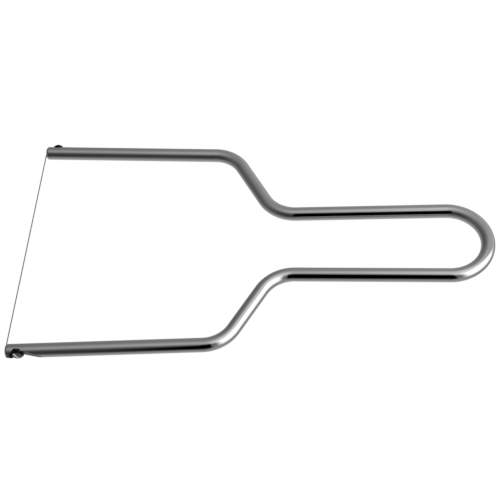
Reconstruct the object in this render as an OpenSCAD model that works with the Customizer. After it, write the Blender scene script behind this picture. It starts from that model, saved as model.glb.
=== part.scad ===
// Hand-held wire cutter for clay: one bent rod carries a taut wire across its open end.
// The tool lies flat: X runs from the wire to the handle loop, Y across the jaw, Z up.
// The origin is under the middle of the tool, on the surface that it lies on.

/* [Rod] */
// Diameter of the bent rod
rod_d = 6.35; // [5:0.05:8]
// Length from the cut ends of the rod to the outside of the handle loop
overall_l = 217; // [200:1:240]
// Radius that rounds the edge of each cut end
end_round = 1.2; // [0.4:0.1:2.2]

/* [Jaw] */
// Distance between the rod centre lines at the wire
jaw_w = 114; // [100:1:130]
// Distance between the centre lines where the arms would meet the slanting legs
shoulder_w = 107; // [95:1:125]
// Distance from the cut ends to that corner
arm_l = 95.4; // [85:0.1:105]
// How much shorter the far arm is than the near one
far_short = 1.1; // [0:0.1:2]
// Bend radius of the shoulders, at the centre line
shoulder_r = 16; // [12:1:22]

/* [Handle] */
// Distance from the cut ends to the corner between leg and handle
neck_l = 116.4; // [110:0.1:125]
// Distance between the centre lines at that corner
neck_w = 34; // [28:1:40]
// Bend radius of the necks, at the centre line
neck_r = 17; // [12:1:22]
// Radius of the handle loop, at the centre line
loop_r = 18; // [14:1:22]

/* [Wire] */
// Diameter of the cutting wire
wire_d = 0.5; // [0.4:0.05:0.6]
// Radius of the wire where it turns off the cut end, at its centre line
wire_bend_r = 0.6; // [0.5:0.05:0.8]
// Width of the slot that leads the wire to the screw
slot_w = 0.8; // [0.7:0.05:1]

/* [Clamps] */
// Distance from the cut end to the screw's axis
screw_x = 5.4; // [5:0.1:6.5]
// Height of the near screw's seat above the rod's axis
near_seat = 0.4; // [0.2:0.1:1.8]
// Height of the far screw's seat above the rod's axis
far_seat = 1.7; // [0.2:0.1:1.8]
// Diameter of the cutter that sinks the seat across the rod
seat_d = 6.8; // [6.4:0.1:7.2]
// Slope of the flat that runs out of the seat along the arm
ramp_a = 12; // [10:0.5:16]
// Lean of that flat towards the surface that the tool lies on
ramp_lean = 14; // [0:1:30]
// Diameter of the clamp washer
washer_d = 5.8; // [4.6:0.1:5.8]
// Thickness of the clamp washer
washer_t = 0.5; // [0.4:0.1:0.8]
// Major diameter of the screw's thread
screw_d = 2.84; // [2.5:0.02:2.9]
// Length of the screw under its head
screw_l = 3.6; // [3:0.1:4]
// Diameter of the screw's head
head_d = 4.4; // [4:0.1:5]
// Height of the head's straight side
head_side = 1; // [0.8:0.1:1.8]
// Extra height of the head's domed top
head_dome = 0.4; // [0.2:0.1:0.6]
// Width of the screwdriver slot
driver_w = 1; // [0.6:0.1:1.2]
// Depth of the screwdriver slot, from the top of the dome
driver_depth = 0.6; // [0.5:0.1:1.3]
// How far each screwdriver slot is turned from the arm's direction
near_driver_a = 63; // [0:1:180]
far_driver_a = 20; // [0:1:180]

/* [Hidden] */
$fn = 96;

rod_r = rod_d / 2;
wire_r = wire_d / 2;
end_x = -overall_l / 2;
// Clearances: between pieces that lie on each other, and round the screw's shank
touch = 0.01;
lift_gap = 0.03;
shank_gap = 0.03;
bore_end = -2.5; // the screw hole stops short of the inner side of the rod
// Bending thins the rod and the wire a little, and each straight stretch laps into its bends
bend_r = rod_r - 0.01;
wire_turn_r = wire_r - 0.005;
lap = 0.05;

// Corners of the far half of the centre line
tip = [end_x, jaw_w / 2]; // where the arm would end if it were as long as the near one
shoulder = [end_x + arm_l, shoulder_w / 2];
neck = [end_x + neck_l, neck_w / 2];
loop_x = overall_l / 2 - bend_r - loop_r;

// Directions of the straight stretches, in degrees from +X
arm_a = heading(tip, shoulder);
leg_a = heading(shoulder, neck);
to_loop = [loop_x, 0] - neck;
rail_a = heading(neck, [loop_x, 0]) + asin(loop_r / norm(to_loop));
rail_l = sqrt(to_loop * to_loop - loop_r * loop_r);

// The cut ends. The wire runs straight between them, so it and both clamps slant a little.
near_tip = [tip[0], -tip[1]];
far_tip = along(tip, arm_a, far_short);
tip_gap = norm(far_tip - near_tip);
skew = 90 - heading(near_tip, far_tip);

// How far each bend's tangent points lie from its corner
shoulder_cut = bend_cut(shoulder_r, arm_a, leg_a);
neck_cut = bend_cut(neck_r, leg_a, rail_a);

// The wire's eye lies round the screw, and its lead runs from the eye to the cut end
eye_r = screw_d / 2 + shank_gap + wire_r;
end_lean = (rod_r - end_round) * sin(abs(arm_a) + skew); // how far a cut end leans out past its middle
wire_x = -wire_r - touch - end_lean;
lead_l = sqrt(pow(screw_x - wire_x, 2) - eye_r * eye_r);
lead_a = asin(eye_r / (screw_x - wire_x));
eye_turn = 305;

function heading(a, b) = atan2(b[1] - a[1], b[0] - a[0]);
function bend_cut(r, a, b) = r * tan(abs(b - a) / 2);
function along(p, a, d) = p + d * [cos(a), sin(a)];
function seat(side) = side < 0 ? near_seat : far_seat;

// A straight stretch of rod from point p, heading a, of length l between tangent points
module straight(p, a, l) {
    start = along(p, a, -lap);
    translate([start[0], start[1], rod_r])
        rotate([0, 90, a])
            cylinder(h = l + 2 * lap, r = rod_r);
}

// A bend round corner p, from heading a to heading b
module bend(p, r, a, b) {
    turn = b - a;
    side = turn > 0 ? 1 : -1;
    start = along(p, a, -bend_cut(r, a, b));
    centre = along(start, a + 90 * side, r);
    first = side > 0 ? a - 90 : b + 90;
    translate([centre[0], centre[1], rod_r])
        rotate([0, 0, first])
            rotate_extrude(angle = abs(turn))
                translate([r, 0])
                    circle(r = bend_r);
}

// The arm: a straight stretch whose free end has a rounded edge
module arm(short) {
    start = along(tip, arm_a, short);
    length = norm(shoulder - start) - shoulder_cut;
    translate([start[0], start[1], rod_r])
        rotate([0, 90, arm_a])
            rotate_extrude()
                union() {
                    square([rod_r - end_round, end_round]);
                    translate([0, end_round])
                        square([rod_r, length - end_round + lap]);
                    intersection() {
                        translate([rod_r - end_round, end_round])
                            circle(r = end_round);
                        square([rod_r, end_round]);
                    }
                }
}

// One half of the bent rod, up to the handle loop
module half_rod(short) {
    arm(short);
    bend(shoulder, shoulder_r, arm_a, leg_a);
    straight(
        along(shoulder, leg_a, shoulder_cut),
        leg_a,
        norm(neck - shoulder) - shoulder_cut - neck_cut
    );
    bend(neck, neck_r, leg_a, rail_a);
    straight(along(neck, rail_a, neck_cut), rail_a, rail_l - neck_cut);
}

module handle_loop()
    translate([loop_x, 0, rod_r])
        rotate([0, 0, -90 - rail_a])
            rotate_extrude(angle = 180 + 2 * rail_a)
                translate([loop_r, 0])
                    circle(r = bend_r);

// Places its children at a cut end: X away from the wire, Y outward along it, Z up.
// Side is -1 for the near arm and 1 for the far arm.
module at_tip(side) {
    place = side < 0 ? near_tip : far_tip;
    translate([place[0], place[1], rod_r])
        rotate([0, 0, -skew])
            mirror([0, side < 0 ? 1 : 0, 0])
                children();
}

// Places its children on the screw's axis, with Z outward, h above the rod's axis
module on_screw(h)
    translate([screw_x, h, 0])
        rotate([-90, 0, 0])
            children();

// Places its children at the wire on the cut end, with X along the lead.
// The wire wraps each screw clockwise, so the lead rises on one arm and falls on the other.
module at_lead(side)
    mirror([0, 0, side < 0 ? 0 : 1])
        translate([wire_x, 0, 0])
            rotate([0, -lead_a, 0])
                children();

// What is cut out of a rod end to seat one screw and lead the wire to it
module clamp_cuts(side) {
    deep = rod_d;
    relief = 0.45;
    on_screw(seat(side))
        cylinder(h = deep, d = seat_d);
    on_screw(bore_end)
        cylinder(h = deep, r = screw_d / 2 + shank_gap);
    at_lead(side) {
        translate([-1, seat(side), -slot_w / 2])
            cube([screw_x, deep, slot_w]);
        // a small slanting relief lets the wire turn off the end without a kink
        translate([-wire_x, seat(side) - relief, 0])
            rotate([0, 0, 45])
                translate([-1, 0, -slot_w / 2])
                    cube([1 + relief * sqrt(2), relief, slot_w]);
    }
    ramp_start = screw_x + 1.6;
    ramp_l = rod_d / tan(ramp_a);
    rotate([-ramp_lean, 0, 0])
        translate([0, 0, -rod_d])
            linear_extrude(height = 2 * rod_d)
                polygon([
                    [ramp_start, seat(side)],
                    [ramp_start + ramp_l, seat(side) + rod_d],
                    [ramp_start, seat(side) + rod_d],
                ]);
}

// Height of the wire's lead and eye above the rod's axis
function lead_h(side) = seat(side) + wire_r + touch;

// The wire's straight run across the jaw, set out from the near cut end
module wire_span() {
    span = tip_gap + lead_h(-1) + lead_h(1) - 2 * wire_bend_r;
    translate([wire_x, lead_h(-1) - wire_bend_r + lap, 0])
        rotate([90, 0, 0])
            cylinder(h = span + 2 * lap, r = wire_r);
}

// One end of the wire: its turn off the cut end, its lead and its eye
module wire_end(side)
    at_lead(side)
        translate([0, lead_h(side), 0]) {
            translate([wire_bend_r, -wire_bend_r, 0])
                rotate([0, 0, 90])
                    rotate_extrude(angle = 90)
                        translate([wire_bend_r, 0])
                            circle(r = wire_turn_r);
            translate([wire_bend_r - lap, 0, 0])
                rotate([0, 90, 0])
                    cylinder(h = lead_l - wire_bend_r + lap, r = wire_r);
            translate([lead_l, 0, -eye_r])
                rotate([90, 0, 0])
                    rotate([0, 0, 90 - eye_turn])
                        rotate_extrude(angle = eye_turn)
                            translate([eye_r, 0])
                                circle(r = wire_r);
        }

// Height of the washer's underside above the rod's axis
function washer_h(side) = seat(side) + wire_d + lift_gap;

module washer(side)
    at_tip(side)
        on_screw(washer_h(side))
            difference() {
                cylinder(h = washer_t, d = washer_d);
                translate([0, 0, -1])
                    cylinder(h = washer_t + 2, r = screw_d / 2 + shank_gap);
            }

module screw(side)
    at_tip(side)
        on_screw(washer_h(side) + washer_t + touch)
            difference() {
                rotate_extrude()
                    screw_profile();
                rotate([0, 0, side < 0 ? near_driver_a : far_driver_a])
                    translate([-head_d, -driver_w / 2, head_side + head_dome - driver_depth])
                        cube([2 * head_d, driver_w, driver_depth + 1]);
            }

// Half section of the screw, with the underside of its head at height 0
module screw_profile() {
    head_r = head_d / 2;
    dome_r = (head_r * head_r + head_dome * head_dome) / (2 * head_dome);
    translate([0, -screw_l])
        square([screw_d / 2, screw_l]);
    square([head_r, head_side]);
    intersection() {
        translate([0, head_side + head_dome - dome_r])
            circle(r = dome_r);
        translate([0, head_side])
            square([head_r, 2 * head_dome]);
    }
}

module rod_frame()
    color("lightgray")
        difference() {
            union() {
                half_rod(far_short);
                mirror([0, 1, 0])
                    half_rod(0);
                handle_loop();
            }
            for (side = [-1, 1])
                at_tip(side)
                    clamp_cuts(side);
        }

module cutting_wire()
    color("silver") {
        at_tip(-1)
            wire_span();
        for (side = [-1, 1])
            at_tip(side)
                wire_end(side);
    }

module near_washer() color("darkgray") washer(-1);
module near_screw() color("gray") screw(-1);
module far_washer() color("darkgray") washer(1);
module far_screw() color("gray") screw(1);

rod_frame();
cutting_wire();
near_washer();
near_screw();
far_washer();
far_screw();
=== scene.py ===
import math

import bmesh
import bpy
from mathutils import Euler, Matrix, Vector


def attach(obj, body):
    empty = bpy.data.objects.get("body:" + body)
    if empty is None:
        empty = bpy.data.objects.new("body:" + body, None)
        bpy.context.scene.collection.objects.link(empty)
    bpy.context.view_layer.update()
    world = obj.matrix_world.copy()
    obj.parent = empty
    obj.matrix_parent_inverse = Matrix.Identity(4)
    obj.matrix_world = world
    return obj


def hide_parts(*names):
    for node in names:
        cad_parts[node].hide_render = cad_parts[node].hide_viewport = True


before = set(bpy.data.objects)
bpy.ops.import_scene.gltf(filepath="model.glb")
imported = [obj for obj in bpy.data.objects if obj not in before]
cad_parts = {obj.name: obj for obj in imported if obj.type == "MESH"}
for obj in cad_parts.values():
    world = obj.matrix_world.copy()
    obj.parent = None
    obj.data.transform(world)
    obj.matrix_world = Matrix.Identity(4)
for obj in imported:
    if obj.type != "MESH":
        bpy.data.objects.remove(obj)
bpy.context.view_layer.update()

MM = 0.001

# ---------------------------------------------------------------- measures of the tool, in mm

ROD_R = 3.175
LOOP_X = 108.5      # outside of the handle loop
END_X = -108.5      # cut end of the near arm
FAR_SHORT = 1.1     # the far arm stops short of the near one
END_ROUND = 1.2
JAW_HALF = 57.0     # centre line of the near arm at its cut end
SHOULDER = (-13.1, 53.5)
SHOULDER_R = 16.0
NECK = (7.9, 17.0)
NECK_R = 17.0
LOOP_R = 18.0

SCREW_X = 5.4       # from the cut end to the screw's axis
SEAT = {"near": 0.4, "far": 1.7}
SEAT_R = 3.4
RAMP_SLOPE = math.radians(12)
RAMP_LEAN = math.radians(14)
RAMP_GAP = 1.6      # from the screw's axis to the start of the ramp
SLOT_W = 0.8
RELIEF = 0.45
WIRE_R = 0.25
WIRE_X = -0.352     # the wire stands just clear of the cut ends
WIRE_BEND_R = 0.6
EYE_TURN = math.radians(305)
WASHER_R = 2.9
WASHER_T = 0.5
WASHER_GAP = 0.53   # from the seat to the washer's underside
BORE_R = 1.45
BORE_END = -2.5
SCREW_R = 1.42
SCREW_L = 3.6
PITCH = 0.635
HEAD_R = 2.2
HEAD_SIDE = 1.0
HEAD_DOME = 0.4
DRIVER_W = 1.0
DRIVER_DEPTH = 0.6
DRIVER_A = {"near": math.radians(-63), "far": math.radians(20)}
TOUCH = 0.01

ROD_AROUND = 96     # facets round each piece
WIRE_AROUND = 20
WASHER_AROUND = 96
SCREW_AROUND = 64
FINE_L = 24.0       # length of closely spaced rings at each tip
FINE_STEP = 0.5
COARSE_STEP = 1.5
BEND_STEP = 0.6

SIDE = {"near": -1, "far": 1}
EYE_R = BORE_R + WIRE_R
LEAD_L = math.sqrt((SCREW_X - WIRE_X) ** 2 - EYE_R ** 2)
LEAD_A = math.asin(EYE_R / (SCREW_X - WIRE_X))


# ---------------------------------------------------------------- camera, floor and light

def make_camera():
    data = bpy.data.cameras.new("camera")
    data.sensor_width = 36
    data.lens = 75.4
    data.clip_start = 0.01
    data.clip_end = 50
    cam = bpy.data.objects.new("camera", data)
    look_down, swing, roll = math.radians(54.41), math.radians(-7.73), math.radians(-6.7)
    turn = Euler((math.pi / 2 - look_down, 0, -swing)).to_matrix() @ Matrix.Rotation(roll, 3, "Z")
    cam.matrix_world = Matrix.Translation(Vector((34.7, -281.7, 395.6)) * MM) @ turn.to_4x4()
    bpy.context.scene.collection.objects.link(cam)
    bpy.context.scene.camera = cam


def make_floor():
    bm = bmesh.new()
    bmesh.ops.create_grid(bm, x_segments=8, y_segments=8, size=6)
    mesh = bpy.data.meshes.new("floor")
    bm.to_mesh(mesh)
    bm.free()
    floor = bpy.data.objects.new("floor", mesh)
    bpy.context.scene.collection.objects.link(floor)
    mat = bpy.data.materials.new("floor")
    mat.use_nodes = True
    nodes, links = mat.node_tree.nodes, mat.node_tree.links
    nodes.clear()
    out = nodes.new("ShaderNodeOutputMaterial")
    glow = nodes.new("ShaderNodeEmission")
    glow.inputs["Color"].default_value = (1, 1, 1, 1)
    glow.inputs["Strength"].default_value = 1.0
    links.new(glow.outputs[0], out.inputs["Surface"])
    mesh.materials.append(mat)
    floor.visible_glossy = False


class Studio:
    """The room that the metal mirrors: a world whose tone depends on the direction only."""

    def __init__(self):
        world = bpy.data.worlds.new("studio")
        bpy.context.scene.world = world
        world.use_nodes = True
        self.nodes, self.links = world.node_tree.nodes, world.node_tree.links
        self.nodes.clear()
        self.direction = self.nodes.new("ShaderNodeTexCoord").outputs["Generated"]
        self.elevation = self.math("ARCSINE", self.dot((0, 0, 1)))

    def put(self, value, socket):
        if isinstance(value, (int, float)):
            socket.default_value = value
        else:
            self.links.new(value, socket)

    def math(self, operation, *values):
        node = self.nodes.new("ShaderNodeMath")
        node.operation = operation
        for value, socket in zip(values, node.inputs):
            self.put(value, socket)
        return node.outputs[0]

    def dot(self, axis):
        node = self.nodes.new("ShaderNodeVectorMath")
        node.operation = "DOT_PRODUCT"
        self.links.new(self.direction, node.inputs[0])
        node.inputs[1].default_value = axis
        return node.outputs["Value"]

    def fade(self, value, start, end):
        node = self.nodes.new("ShaderNodeMapRange")
        node.interpolation_type = "SMOOTHSTEP"
        self.put(value, node.inputs["Value"])
        node.inputs["From Min"].default_value = math.radians(start)
        node.inputs["From Max"].default_value = math.radians(end)
        return node.outputs["Result"]

    def band(self, value, low, high, soft):
        rise = self.fade(value, low - soft / 2, low + soft / 2)
        fall = self.fade(value, high + soft / 2, high - soft / 2)
        return self.math("MULTIPLY", rise, fall)

    def tones(self, stops):
        """Level against elevation in degrees."""
        ramp = self.nodes.new("ShaderNodeValToRGB")
        share = self.math("MULTIPLY_ADD", self.elevation, 1 / math.pi, 0.5)
        self.links.new(share, ramp.inputs["Fac"])
        points = ramp.color_ramp.elements
        while len(points) < len(stops):
            points.new(0.5)
        for point, (degrees, level) in zip(points, stops):
            point.position = degrees / 180 + 0.5
            point.color = (level, level, level, 1)
        return ramp.outputs["Color"]

    def panel(self, under, heading, width, low, high, soft, colour):
        """Lays a soft-edged panel over the tones so far. Heading is in degrees from +Y towards +X."""
        turn = math.radians(heading)
        across = self.dot((math.cos(turn), -math.sin(turn), 0))
        ahead = self.dot((math.sin(turn), math.cos(turn), 0))
        azimuth = self.math("ARCTAN2", across, ahead)
        mask = self.math(
            "MULTIPLY",
            self.band(azimuth, -width / 2, width / 2, soft[0]),
            self.band(self.elevation, low, high, soft[1]),
        )
        mix = self.nodes.new("ShaderNodeMix")
        mix.data_type = "RGBA"
        self.links.new(mask, mix.inputs["Factor"])
        self.links.new(under, mix.inputs["A"])
        mix.inputs["B"].default_value = (*colour, 1)
        return mix.outputs["Result"]

    def finish(self, colour, seen):
        """The camera sees a plain pale backdrop instead of the room."""
        room = self.nodes.new("ShaderNodeBackground")
        self.links.new(colour, room.inputs["Color"])
        backdrop = self.nodes.new("ShaderNodeBackground")
        backdrop.inputs["Color"].default_value = (seen, seen, seen, 1)
        path = self.nodes.new("ShaderNodeLightPath")
        mix = self.nodes.new("ShaderNodeMixShader")
        self.links.new(path.outputs["Is Camera Ray"], mix.inputs["Fac"])
        self.links.new(room.outputs[0], mix.inputs[1])
        self.links.new(backdrop.outputs[0], mix.inputs[2])
        out = self.nodes.new("ShaderNodeOutputWorld")
        self.links.new(mix.outputs[0], out.inputs["Surface"])


def make_studio():
    studio = Studio()
    tones = studio.tones([
        (-90, 0.59), (-60, 0.38), (-35, 0.38), (-15, 0.47), (0, 0.52),
        (20, 0.43), (45, 0.39), (70, 0.45), (90, 0.57),
    ])
    side_wall = (0.105, 0.105, 0.105)
    front_wall = (0.045, 0.045, 0.045)
    tones = studio.panel(tones, -110, 220, -28, 64, (110, 80), side_wall)
    tones = studio.panel(tones, -160, 60, -12, 48, (50, 50), front_wall)
    tones = studio.panel(tones, 70, 120, -55, -14, (80, 24), (0.27, 0.27, 0.27))
    tones = studio.panel(tones, 90, 150, 58, 82, (50, 20), (0.72, 0.72, 0.71))
    tones = studio.panel(tones, 108, 70, -3, 62, (20, 36), (1.5, 1.5, 1.5))
    tones = studio.panel(tones, 175.5, 27, -9, 62, (8, 28), (0, 0, 0))
    studio.finish(tones, 1.0)


# ---------------------------------------------------------------- places on the tool

def unit(angle):
    return Vector((math.cos(angle), math.sin(angle), 0))


def heading(a, b):
    return math.atan2(b.y - a.y, b.x - a.x)


ARM_A = math.atan2(SHOULDER[1] - JAW_HALF, SHOULDER[0] - END_X)
NEAR_END = Vector((END_X, -JAW_HALF, ROD_R))
FAR_END = Vector((END_X, JAW_HALF, ROD_R)) + FAR_SHORT * unit(ARM_A)


class Tip:
    """A cut end, with its own measures: x away from the wire, out along it, up from the rod's axis."""

    def __init__(self, name, end):
        self.name = name
        self.side = SIDE[name]
        self.seat = SEAT[name]
        self.origin = end
        along = (FAR_END - NEAR_END).normalized()
        self.ahead = Vector((along.y, -along.x, 0))
        self.outward = self.side * along
        self.up = Vector((0, 0, 1))

    def at(self, x, out, up):
        return self.origin + x * self.ahead + out * self.outward + up * self.up

    def on_screw(self, height):
        """Frame of the screw's axis, right-handed, with Z outward."""
        third = self.outward.cross(self.ahead)
        turn = Matrix((self.ahead, third, self.outward)).transposed().to_4x4()
        return Matrix.Translation(self.at(SCREW_X, height, 0)) @ turn

    def on_lead(self, x, out, up):
        """A point in the frame of the wire's lead, which slants towards the top or foot of the eye."""
        turned_x = math.cos(LEAD_A) * x - math.sin(LEAD_A) * up
        turned_up = math.sin(LEAD_A) * x + math.cos(LEAD_A) * up
        return self.at(WIRE_X + turned_x, out, -self.side * turned_up)


NEAR, FAR = Tip("near", NEAR_END), Tip("far", FAR_END)


# ---------------------------------------------------------------- meshes

def tube(bm, rings):
    """Skins rings of points, and lays UVs: once round across, and lengths of one girth along."""
    uv = bm.loops.layers.uv.verify()
    around = len(rings[0][0])
    made = [[bm.verts.new(p * MM) for p in points] for points, _ in rings]
    lengths = [length for _, length in rings]
    for a, b, s, t in zip(made, made[1:], lengths, lengths[1:]):
        for k in range(around):
            m = (k + 1) % around
            face = bm.faces.new((a[k], a[m], b[m], b[k]))
            for loop, place in zip(face.loops, ((k, s), (k + 1, s), (k + 1, t), (k, t))):
                loop[uv].uv = (place[0] / around, place[1])
    for verts in (made[0], made[-1]):
        hub = bm.verts.new(sum((v.co for v in verts), Vector()) / around)
        for k in range(around):
            bm.faces.new((verts[k], verts[(k + 1) % around], hub))
    bmesh.ops.recalc_face_normals(bm, faces=bm.faces)


def circle(centre, side, up, radius, around):
    """Points round a centre, from the foot."""
    turns = [2 * math.pi * k / around for k in range(around)]
    return [centre + radius * (math.sin(t) * side - math.cos(t) * up) for t in turns]


def solid(bm, corners):
    """Closes a prism whose foot and top are given as matching rows of corners."""
    foot, top = ([bm.verts.new(p * MM) for p in row] for row in corners)
    bm.faces.new(foot)
    bm.faces.new(top)
    for k in range(len(foot)):
        m = (k + 1) % len(foot)
        bm.faces.new((foot[k], foot[m], top[m], top[k]))
    bmesh.ops.recalc_face_normals(bm, faces=bm.faces)


def make_object(name, bm, material):
    mesh = bpy.data.meshes.new(name)
    bm.to_mesh(mesh)
    bm.free()
    mesh.materials.append(material)
    thing = bpy.data.objects.new(name, mesh)
    bpy.context.scene.collection.objects.link(thing)
    return thing


def carve(thing, cutters, material):
    """Cuts solids, each given as a function that fills a mesh, out of an object."""
    group = bpy.data.collections.new("cutters")
    bpy.context.scene.collection.children.link(group)
    tools = []
    for build in cutters:
        bm = bmesh.new()
        bm.loops.layers.uv.verify()
        build(bm)
        tool = make_object("cutter", bm, material)
        bpy.context.scene.collection.objects.unlink(tool)
        group.objects.link(tool)
        tools.append(tool)
    cut = thing.modifiers.new("cut", "BOOLEAN")
    cut.operand_type = "COLLECTION"
    cut.collection = group
    cut.solver = "EXACT"
    cut.material_mode = "TRANSFER"
    graph = bpy.context.evaluated_depsgraph_get()
    mesh = bpy.data.meshes.new_from_object(thing.evaluated_get(graph))
    thing.modifiers.remove(cut)
    old = thing.data
    thing.data = mesh
    bpy.data.meshes.remove(old)
    for tool in tools:
        data = tool.data
        bpy.data.objects.remove(tool)
        bpy.data.meshes.remove(data)
    bpy.data.collections.remove(group)
    bm = bmesh.new()
    bm.from_mesh(mesh)
    bmesh.ops.remove_doubles(bm, verts=bm.verts, dist=0.002 * MM)
    bmesh.ops.dissolve_degenerate(bm, edges=bm.edges, dist=0.002 * MM)
    bm.to_mesh(mesh)
    bm.free()


def ease_edges(thing, width, least, where):
    """Bevels the edges that turn by at least so many degrees, where the place is right."""
    bm = bmesh.new()
    bm.from_mesh(thing.data)
    sharp = [
        e for e in bm.edges
        if e.is_manifold and e.calc_face_angle(0) > math.radians(least)
        and where((e.verts[0].co + e.verts[1].co) / 2 / MM)
    ]
    bmesh.ops.bevel(
        bm, geom=sharp, offset=width * MM, offset_type="OFFSET", segments=2, profile=0.5,
        affect="EDGES", clamp_overlap=True, loop_slide=True,
    )
    bm.to_mesh(thing.data)
    bm.free()


def finish_piece(thing, body, node, sharp=40):
    mesh = thing.data
    mesh.polygons.foreach_set("use_smooth", [True] * len(mesh.polygons))
    mesh.set_sharp_from_angle(angle=math.radians(sharp))
    shade = thing.modifiers.new("shade", "WEIGHTED_NORMAL")
    shade.keep_sharp = True
    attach(thing, body)
    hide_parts(node)
    return thing


def mark_rims(thing):
    """Keeps shading apart where two materials meet, however shallow the angle."""
    bm = bmesh.new()
    bm.from_mesh(thing.data)
    for edge in bm.edges:
        if len({face.material_index for face in edge.link_faces}) > 1:
            edge.smooth = False
    bm.to_mesh(thing.data)
    bm.free()


# ---------------------------------------------------------------- the bent rod

def centre_line():
    """Points and headings of the rod's centre line, from the near cut end to the far one."""
    tip = Vector((END_X, JAW_HALF, 0))
    shoulder = Vector((*SHOULDER, 0))
    neck = Vector((*NECK, 0))
    loop = Vector((LOOP_X - ROD_R - LOOP_R, 0, 0))
    leg_a = heading(shoulder, neck)
    to_loop = loop - neck
    rail_a = heading(neck, loop) + math.asin(LOOP_R / to_loop.length)
    rail_l = math.sqrt(to_loop.length_squared - LOOP_R ** 2)

    def straight(start, end, step):
        count = max(2, round((end - start).length / step))
        way = heading(start, end)
        return [(start.lerp(end, i / count), way) for i in range(count)]

    def bend(start, radius, a, b):
        side = 1 if b > a else -1
        centre = start + radius * unit(a + side * math.pi / 2)
        count = math.ceil(abs(b - a) * radius / BEND_STEP)
        ways = [a + (b - a) * i / count for i in range(count)]
        return [(centre - radius * unit(way + side * math.pi / 2), way) for way in ways]

    def half(short):
        end = tip + short * unit(ARM_A)
        cut = SHOULDER_R * math.tan(abs(leg_a - ARM_A) / 2)
        neck_cut = NECK_R * math.tan(abs(rail_a - leg_a) / 2)
        domed = [(end, ARM_A, radius) for radius in (0.3, 0.6, 0.9, 1.2)]
        for i in range(1, 12):
            turn = math.pi / 2 * i / 12
            radius = ROD_R - END_ROUND * (1 - math.sin(turn))
            domed.append((end + END_ROUND * (1 - math.cos(turn)) * unit(ARM_A), ARM_A, radius))
        fine = end + FINE_L * unit(ARM_A)
        shoulder_in = shoulder - cut * unit(ARM_A)
        shoulder_out = shoulder + cut * unit(leg_a)
        neck_in = neck - neck_cut * unit(leg_a)
        neck_out = neck + neck_cut * unit(rail_a)
        loop_in = neck + rail_l * unit(rail_a)
        plain = (
            straight(end + END_ROUND * unit(ARM_A), fine, FINE_STEP)
            + straight(fine, shoulder_in, COARSE_STEP)
            + bend(shoulder_in, SHOULDER_R, ARM_A, leg_a)
            + straight(shoulder_out, neck_in, COARSE_STEP)
            + bend(neck_in, NECK_R, leg_a, rail_a)
            + straight(neck_out, loop_in, COARSE_STEP)
            + bend(loop_in, LOOP_R, rail_a, -math.pi / 2)
        )
        return domed + [(place, way, ROD_R) for place, way in plain]

    near = [(Vector((p.x, -p.y, 0)), -way, r) for p, way, r in half(0)]
    middle = (loop + LOOP_R * unit(0), math.pi / 2, ROD_R)
    far = [(p, way + math.pi, r) for p, way, r in half(FAR_SHORT)]
    return near + [middle] + far[::-1]


def make_rod(material, ground_and_shade):
    rings = []
    length = 0
    before = None
    for centre, way, radius in centre_line():
        centre = centre + Vector((0, 0, ROD_R))
        if before:
            length += (centre - before).length
        before = centre
        points = circle(centre, unit(way - math.pi / 2), Vector((0, 0, 1)), radius, ROD_AROUND)
        rings.append((points, length / (2 * math.pi * ROD_R)))
    bm = bmesh.new()
    tube(bm, rings)
    rod = make_object("bent_rod", bm, material)

    def drill(tip, radius, foot):
        def build(bm):
            axis = tip.on_screw(0)
            rows = []
            for height in (foot, foot + 10):
                centre = axis @ Vector((0, 0, height))
                rows.append(circle(centre, axis.col[0].xyz, axis.col[1].xyz, radius, ROD_AROUND))
            solid(bm, rows)
        return build

    def saw(tip):
        def build(bm):
            half = SLOT_W / 2
            ring = [(-1, tip.seat), (SCREW_X - 1, tip.seat), (SCREW_X - 1, 8), (-1, 8)]
            solid(bm, [[tip.on_lead(x, out, up) for x, out in ring] for up in (-half, half)])
        return build

    def relieve(tip):
        def build(bm):
            half, far_end = SLOT_W / 2, RELIEF * math.sqrt(2)
            ring = []
            for a, b in ((-1, 0), (far_end, 0), (far_end, RELIEF), (-1, RELIEF)):
                x, out = (a - b) / math.sqrt(2), (a + b) / math.sqrt(2)
                ring.append((x - WIRE_X, tip.seat - RELIEF + out))
            solid(bm, [[tip.on_lead(x, out, up) for x, out in ring] for up in (-half, half)])
        return build

    def run_out(tip):
        def build(bm):
            start, rise = SCREW_X + RAMP_GAP, 2 * ROD_R
            ring = [(start, tip.seat), (start + rise / math.tan(RAMP_SLOPE), tip.seat + rise),
                    (start, tip.seat + rise)]
            rows = []
            for up in (-2 * ROD_R, 2 * ROD_R):
                lean = [(x, out * math.cos(RAMP_LEAN) + up * math.sin(RAMP_LEAN),
                         up * math.cos(RAMP_LEAN) - out * math.sin(RAMP_LEAN)) for x, out in ring]
                rows.append([tip.at(*place) for place in lean])
            solid(bm, rows)
        return build

    cutters = []
    for tip in (NEAR, FAR):
        cutters += [drill(tip, SEAT_R, tip.seat), drill(tip, BORE_R, BORE_END), saw(tip),
                    relieve(tip), run_out(tip)]
    # The cut faces take the dark ground steel, which paints shade into the recesses.
    carve(rod, cutters, ground_and_shade)
    finish_piece(rod, "frame", "rod_frame")
    mark_rims(rod)


# ---------------------------------------------------------------- the wire

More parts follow.
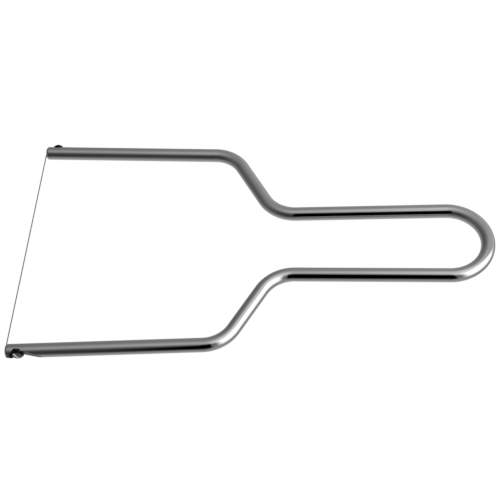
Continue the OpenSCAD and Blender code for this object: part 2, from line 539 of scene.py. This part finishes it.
def make_wire(material):
    def half(tip):
        """From the wire's free end round the eye, along the lead and round the turn."""
        height = tip.seat + WIRE_R + TOUCH
        path = []
        steps = 44
        for i in range(steps):
            turn = EYE_TURN * (1 - i / steps)
            x, up = LEAD_L + EYE_R * math.sin(turn), EYE_R * (math.cos(turn) - 1)
            path.append(tip.on_lead(x, height, up))
        for i in range(6):
            path.append(tip.on_lead(LEAD_L + (WIRE_BEND_R - LEAD_L) * i / 6, height, 0))
        for i in range(11):
            turn = math.pi / 2 * i / 10
            x, drop = WIRE_BEND_R * (1 - math.sin(turn)), WIRE_BEND_R * (1 - math.cos(turn))
            path.append(tip.on_lead(x, height - drop, 0))
        return path

    near, far = half(NEAR), half(FAR)
    span = [near[-1].lerp(far[-1], i / 60) for i in range(1, 60)]
    path = near + span + far[::-1]
    rings = []
    length = 0
    side = None
    for i, place in enumerate(path):
        way = (path[min(i + 1, len(path) - 1)] - path[max(i - 1, 0)]).normalized()
        if side is None:
            side = way.orthogonal().normalized()
        side = (side - side.dot(way) * way).normalized()
        up = way.cross(side)
        if i:
            length += (place - path[i - 1]).length
        at_end = min(i, len(path) - 1 - i)
        if at_end == 0:
            push = way if i == 0 else -way
            for share in ((0.0, 0.1, 0.4) if i == 0 else (0.4, 0.1, 0.0)):
                radius = WIRE_R * (0.7 + 0.3 * share / 0.4)
                centre = place + push * share * WIRE_R
                rings.append((circle(centre, side, up, radius, WIRE_AROUND), length))
        else:
            rings.append((circle(place, side, up, WIRE_R, WIRE_AROUND), length))
    bm = bmesh.new()
    tube(bm, rings)
    wire = make_object("wire", bm, material)
    return finish_piece(wire, "frame", "cutting_wire")


# ---------------------------------------------------------------- washers and screws

def lathe(name, axis, profile, around, material, wobble=None):
    """Spins a profile of (radius, height) round an axis; the profile's ends may meet the axis."""
    bm = bmesh.new()
    uv = bm.loops.layers.uv.verify()
    rows = []
    for radius, height in profile:
        if radius == 0:
            rows.append([bm.verts.new(axis @ Vector((0, 0, height)) * MM)])
            continue
        row = []
        for k in range(around):
            turn = 2 * math.pi * k / around
            reach = radius + (wobble(turn, height) if wobble else 0)
            place = Vector((reach * math.cos(turn), reach * math.sin(turn), height))
            row.append(bm.verts.new(axis @ place * MM))
        rows.append(row)
    pairs = list(zip(rows, rows[1:]))
    if profile[0][0] and profile[-1][0]:
        pairs.append((rows[-1], rows[0]))
    for a, b in pairs:
        for k in range(around):
            m = (k + 1) % around
            if len(a) == 1:
                bm.faces.new((a[0], b[k], b[m]))
            elif len(b) == 1:
                bm.faces.new((a[k], a[m], b[0]))
            else:
                face = bm.faces.new((a[k], a[m], b[m], b[k]))
                for loop, share in zip(face.loops, (k, k + 1, k + 1, k)):
                    loop[uv].uv = (share / around, loop.vert.co.length)
    bmesh.ops.recalc_face_normals(bm, faces=bm.faces)
    return make_object(name, bm, material)


def rounded(corners, radius, steps=3):
    """Rounds the corners of a closed section."""
    out = []
    for i, corner in enumerate(corners):
        here = Vector(corner)
        back = (Vector(corners[i - 1]) - here).normalized()
        on = (Vector(corners[(i + 1) % len(corners)]) - here).normalized()
        centre = here + radius * (back + on)
        for s in range(steps + 1):
            turn = math.pi / 2 * s / steps
            out.append(tuple(centre - radius * (on * math.cos(turn) + back * math.sin(turn))))
    return out


def make_washer(tip, material):
    foot = tip.seat + WASHER_GAP
    section = [(BORE_R, 0), (WASHER_R, 0), (WASHER_R, WASHER_T), (BORE_R, WASHER_T)]
    name = tip.name + "_clamp_washer"
    washer = lathe(name, tip.on_screw(foot), rounded(section, 0.1), WASHER_AROUND, material)
    return finish_piece(washer, tip.name + "_clamp", tip.name + "_washer")


def make_screw(tip, side, face, wear_and_highlight):
    foot = tip.seat + WASHER_GAP + WASHER_T + TOUCH
    root = SCREW_R - 0.6 * PITCH

    def thread(turn, height):
        """How far the thread's crest stands out here; it fades into the point and the neck."""
        if height > -0.25 or height < 0.05 - SCREW_L:
            return 0
        share = (height / PITCH - turn / (2 * math.pi)) % 1
        crest = min(1, max(0, 1.25 - 2.8 * abs(share - 0.5)))
        fade = min(1, (height + SCREW_L - 0.05) / 0.5, (-0.25 - height) / 0.3)
        return (SCREW_R - root) * crest * max(0, fade)

    profile = [(0, -SCREW_L), (root - 0.3, -SCREW_L), (root - 0.05, 0.15 - SCREW_L)]
    rows = 80
    for i in range(rows + 1):
        profile.append((root, -SCREW_L + 0.25 + (SCREW_L - 0.35) * i / rows))
    profile.append((root + 0.06, -0.04))
    profile.append((root + 0.14, 0))
    ease = 0.12
    profile += [(HEAD_R - ease, 0), (HEAD_R - 0.035, 0.035), (HEAD_R, ease), (HEAD_R, 0.5),
                (HEAD_R, HEAD_SIDE - ease)]
    dome_r = (HEAD_R ** 2 + HEAD_DOME ** 2) / (2 * HEAD_DOME)

    def dome(radius):
        return HEAD_SIDE + HEAD_DOME - dome_r + math.sqrt(dome_r ** 2 - radius ** 2)

    profile += [(HEAD_R - 0.035, HEAD_SIDE - 0.02)]
    profile += [(radius, dome(radius)) for radius in (HEAD_R - ease, 1.8, 1.5, 1.2, 0.8, 0.4)]
    profile.append((0, HEAD_SIDE + HEAD_DOME))
    axis = tip.on_screw(foot)
    screw = lathe(tip.name + "_clamp_screw", axis, profile, SCREW_AROUND, side, thread)

    def driver_slot(bm):
        rows = []
        turned = axis @ Matrix.Rotation(DRIVER_A[tip.name], 4, "Z")
        for height in (HEAD_SIDE + HEAD_DOME - DRIVER_DEPTH, HEAD_SIDE + 2):
            ring = [(-4, -DRIVER_W / 2), (4, -DRIVER_W / 2), (4, DRIVER_W / 2), (-4, DRIVER_W / 2)]
            rows.append([turned @ Vector((x, y, height)) for x, y in ring])
        solid(bm, rows)

    # The slot's cut faces take the bright wear-and-highlight steel, which paints the streak of light
    # across the head.
    carve(screw, [driver_slot], wear_and_highlight)
    inward = axis.inverted()
    ease_edges(screw, 0.06, 50, lambda middle: (inward @ middle).z > 0.5)
    screw.data.materials.append(face)
    # The top of the head takes the dull face steel; the rest keeps the dark side steel, which paints
    # shade on the head's sides.
    for poly in screw.data.polygons:
        if poly.material_index == 0 and (inward @ (poly.center / MM)).z > HEAD_SIDE - 0.1:
            poly.material_index = 2
    return finish_piece(screw, tip.name + "_fastener", tip.name + "_screw", 60)


# ---------------------------------------------------------------- materials

class Metal:
    """A plated or drawn metal whose tone, polish and surface vary a little."""

    def __init__(self, name, tone, tone_change, rough, rough_change):
        self.material = bpy.data.materials.new(name)
        self.material.use_nodes = True
        self.nodes, self.links = self.material.node_tree.nodes, self.material.node_tree.links
        self.shader = self.nodes["Principled BSDF"]
        self.shader.inputs["Metallic"].default_value = 1
        self.place = self.nodes.new("ShaderNodeTexCoord")
        self.normal = None
        cloud = self.noise("Object", (90, 90, 90), 3)
        tint = self.nodes.new("ShaderNodeMix")
        tint.data_type = "RGBA"
        tint.inputs["A"].default_value = (*(c * (1 - tone_change) for c in tone), 1)
        tint.inputs["B"].default_value = (*(min(1, c * (1 + tone_change)) for c in tone), 1)
        self.links.new(cloud, tint.inputs["Factor"])
        self.links.new(tint.outputs["Result"], self.shader.inputs["Base Color"])
        smudge = self.noise("Object", (260, 260, 260), 4)
        polish = self.nodes.new("ShaderNodeMapRange")
        self.links.new(smudge, polish.inputs["Value"])
        polish.inputs["From Min"].default_value = 0.3
        polish.inputs["From Max"].default_value = 0.7
        polish.inputs["To Min"].default_value = rough - rough_change
        polish.inputs["To Max"].default_value = rough + rough_change
        self.links.new(polish.outputs["Result"], self.shader.inputs["Roughness"])

    def noise(self, space, scale, detail):
        stretch = self.nodes.new("ShaderNodeMapping")
        stretch.inputs["Scale"].default_value = scale
        self.links.new(self.place.outputs[space], stretch.inputs["Vector"])
        node = self.nodes.new("ShaderNodeTexNoise")
        node.inputs["Scale"].default_value = 1
        node.inputs["Detail"].default_value = detail
        self.links.new(stretch.outputs["Vector"], node.inputs["Vector"])
        return node.outputs["Fac"]

    def relief(self, space, scale, detail, height):
        """Adds a surface relief of the given height in mm."""
        bump = self.nodes.new("ShaderNodeBump")
        bump.inputs["Distance"].default_value = height * MM
        self.links.new(self.noise(space, scale, detail), bump.inputs["Height"])
        if self.normal:
            self.links.new(self.normal, bump.inputs["Normal"])
        self.normal = bump.outputs["Normal"]
        self.links.new(self.normal, self.shader.inputs["Normal"])
        return self


chrome = Metal("chrome_rod", (0.76, 0.76, 0.76), 0.03, 0.05, 0.015)
chrome.relief("Object", (120, 120, 120), 2, 0.012)
chrome.relief("UV", (60, 1.5, 1), 2, 0.0006)
# Ground steel for every face cut into the rod, made far darker than bare steel: painted shade for the
# seat, slot and bore recesses round the screws.
ground_and_shade = Metal("ground_steel_and_shade", (0.14, 0.14, 0.14), 0.2, 0.38, 0.08)
ground_and_shade.relief("Object", (1500, 1500, 400), 2, 0.006)
steel = Metal("drawn_wire", (0.4, 0.4, 0.4), 0.05, 0.3, 0.05)
steel.relief("UV", (8, 1, 1), 2, 0.004)
# Blackened steel for the washers and the screws' sides, darker than the steel's own tone: painted
# shade in the recess round the near screw head.
black_and_shade = Metal("blackened_steel_and_shade", (0.06, 0.06, 0.06), 0.2, 0.3, 0.06)
black_and_shade.relief("Object", (500, 500, 500), 2, 0.0015)
dull = Metal("dull_steel", (0.2, 0.2, 0.2), 0.15, 0.3, 0.06)
dull.relief("Object", (500, 500, 500), 2, 0.0015)
# Bright, partly diffuse steel for the screws' driver slots: screwdriver wear plus a painted highlight,
# the bright streak across the head, its diffuse share lit by the glowing floor.
wear_and_highlight = Metal("wear_and_highlight_steel", (0.85, 0.85, 0.85), 0.08, 0.4, 0.06)
wear_and_highlight.relief("Object", (500, 500, 500), 2, 0.0015)
wear_and_highlight.shader.inputs["Metallic"].default_value = 0.3

# ---------------------------------------------------------------- the scene

make_camera()
make_floor()
make_studio()
make_rod(chrome.material, ground_and_shade.material)
make_wire(steel.material)
for tip in (NEAR, FAR):
    # The washers take the black steel, which paints the shade round the screw heads.
    make_washer(tip, black_and_shade.material)
    make_screw(tip, black_and_shade.material, dull.material, wear_and_highlight.material)

bpy.context.scene.view_settings.view_transform = "Standard"
